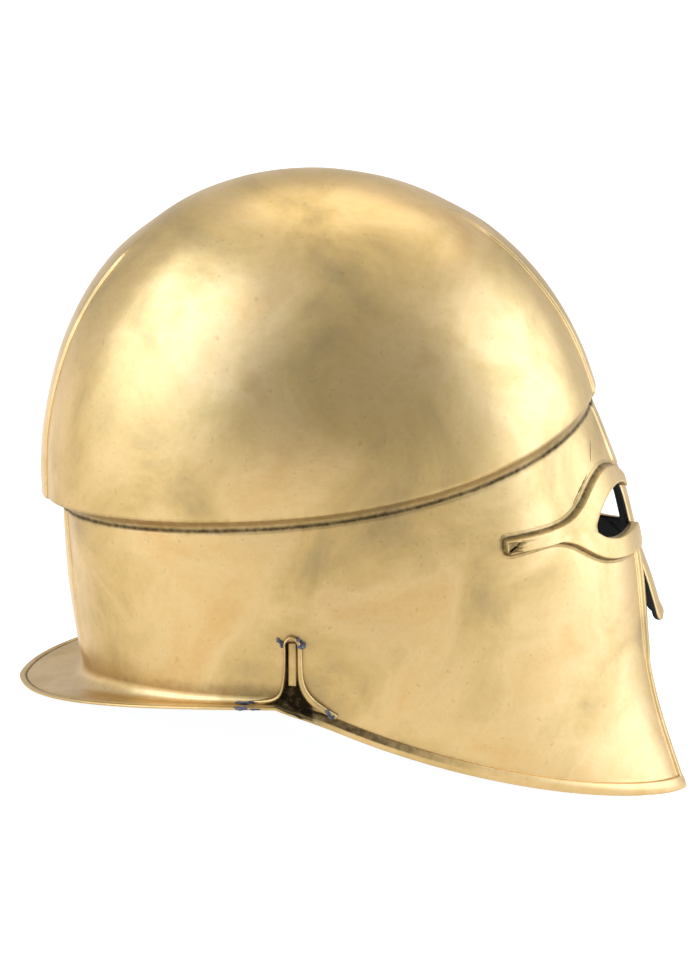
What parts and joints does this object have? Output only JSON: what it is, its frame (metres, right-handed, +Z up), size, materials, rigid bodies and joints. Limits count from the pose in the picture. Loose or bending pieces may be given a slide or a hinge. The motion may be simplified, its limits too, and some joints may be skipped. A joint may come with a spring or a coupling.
{
  "type": "corinthian helmet",
  "caption": "Closed-face Greek helmet of hammered brass with a stepped skull, nose guard, almond eye openings, long cheek pieces and a flared neck guard.",
  "frame": {"origin": "on the surface that the helmet rests on, under the middle of its bounding box", "axes": "+X towards the face, +Y to the wearer's left, +Z up from the surface"},
  "size_m": [0.3508, 0.2086, 0.2784],
  "materials": {
    "hammered_brass": "hammered, ground and satin polished, lightly tarnished",
    "black_lacquer": "matt black paint inside",
    "brazing_residue": "dark burnt flux and filler beside the brazed seams"
  },
  "bodies": {
    "root": {"helmet_shell": "hammered_brass"}
  },
  "joints": []
}
